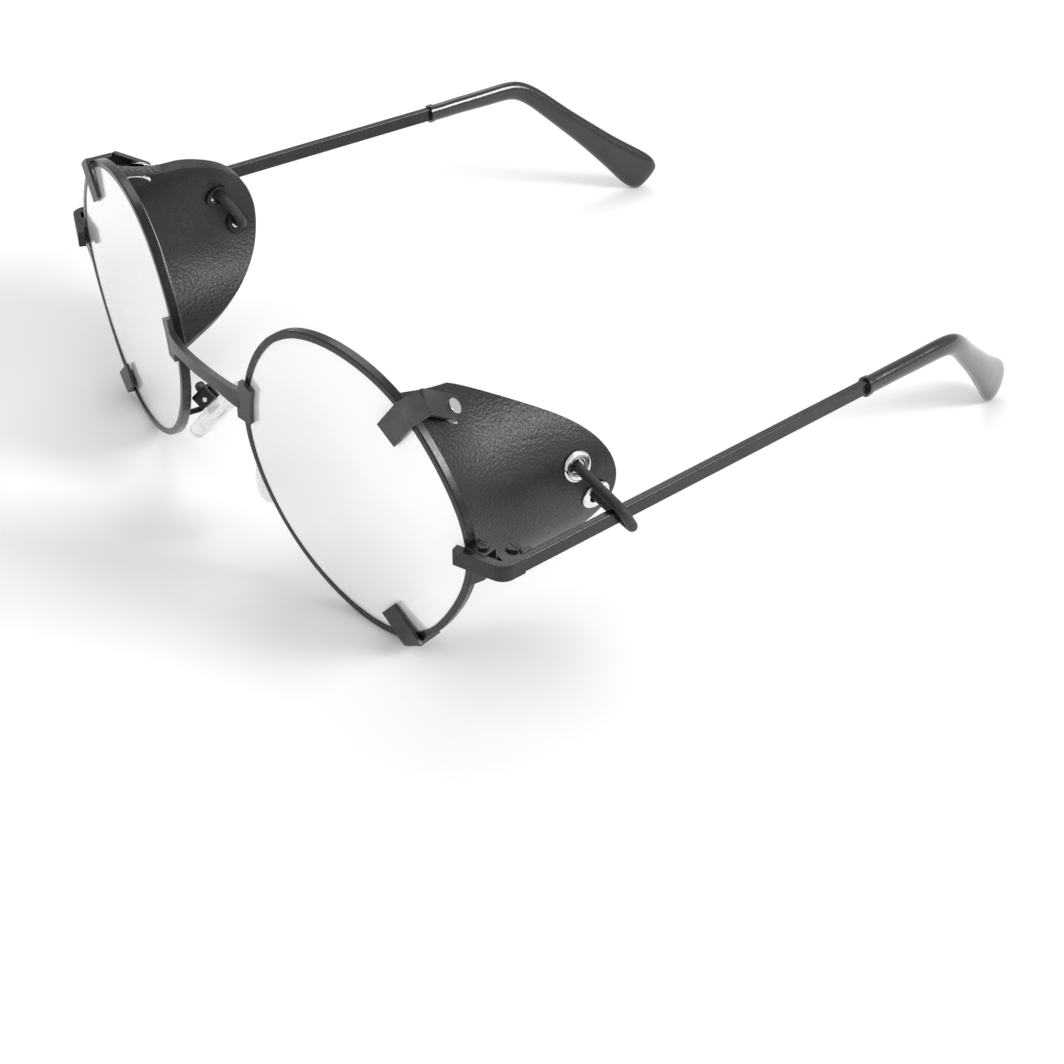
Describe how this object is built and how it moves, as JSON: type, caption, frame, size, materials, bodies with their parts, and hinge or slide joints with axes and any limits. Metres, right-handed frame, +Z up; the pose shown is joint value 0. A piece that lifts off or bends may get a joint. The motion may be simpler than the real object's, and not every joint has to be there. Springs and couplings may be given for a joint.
{
  "type": "glacier glasses",
  "caption": "Folding wire-rimmed glacier glasses with mirrored round lenses, leather side shields laced to the temples, and rocking nose pads.",
  "frame": {"origin": "under the middle of the whole object, on the ground that the rims and temple tips stand on", "axes": "+X towards the wearer's left, -Y towards the front of the lenses, +Z up"},
  "size_m": [0.1348, 0.14, 0.0518],
  "materials": {
    "black_frame": "satin black lacquer",
    "lens": "silver flash mirror",
    "screw_steel": "turned",
    "tip_plastic": "gloss black",
    "pad_silicone": "clear silicone",
    "pad_tab_plastic": "clear",
    "leather": "grained black",
    "bracket_metal": "gunmetal grey",
    "chrome": "polished",
    "cord": "waxed black cord"
  },
  "bodies": {
    "front": {"rim_left": "black_frame", "rim_right": "black_frame", "lens_left": "lens", "lens_right": "lens", "bridge": "black_frame", "end_piece_left": "black_frame", "end_piece_right": "black_frame", "rim_screw_left": "screw_steel", "rim_screw_right": "screw_steel", "hinge_screw_left": "screw_steel", "hinge_screw_right": "screw_steel", "pad_arm_left": "black_frame", "pad_arm_right": "black_frame", "pad_box_left": "black_frame", "pad_box_right": "black_frame", "pad_screw_left": "screw_steel", "pad_screw_right": "screw_steel", "upper_bracket_left": "bracket_metal", "upper_bracket_right": "bracket_metal", "lower_bracket_left": "bracket_metal", "lower_bracket_right": "bracket_metal", "shield_rivets_left": "chrome", "shield_rivets_right": "chrome", "shield_left": "leather", "shield_right": "leather", "eyelets_left": "chrome", "eyelets_right": "chrome", "cord_loop_left": "cord", "cord_loop_right": "cord"},
    "temple_left": {"temple_left": "black_frame", "temple_tip_left": "tip_plastic"},
    "temple_right": {"temple_right": "black_frame", "temple_tip_right": "tip_plastic"},
    "nose_pad_left": {"nose_pad_left": "pad_silicone", "pad_tab_left": "pad_tab_plastic"},
    "nose_pad_right": {"nose_pad_right": "pad_silicone", "pad_tab_right": "pad_tab_plastic"}
  },
  "joints": [
    {"name": "temple_left_hinge", "type": "hinge", "parent": "front", "child": "temple_left", "pos_m": [0.06328, -0.05362, 0.02681], "axis": [0, 0, 1], "range_deg": [0, 68], "deforming": ["shield_left", "shield_right", "eyelets_left", "cord_loop_left"]},
    {"name": "temple_right_hinge", "type": "hinge", "parent": "front", "child": "temple_right", "pos_m": [-0.06328, -0.05362, 0.02681], "axis": [0, 0, -1], "range_deg": [0, 84], "deforming": ["shield_right", "shield_left", "eyelets_right", "cord_loop_right"]},
    {"name": "nose_pad_left_rock", "type": "hinge", "parent": "front", "child": "nose_pad_left", "pos_m": [0.0118, -0.06207, 0.01769], "axis": [-0.5854, -0.7456, 0.3184], "range_deg": [-8, 8]},
    {"name": "nose_pad_right_rock", "type": "hinge", "parent": "front", "child": "nose_pad_right", "pos_m": [-0.0118, -0.06207, 0.01769], "axis": [0.5854, -0.7456, 0.3184], "range_deg": [-8, 8]}
  ]
}
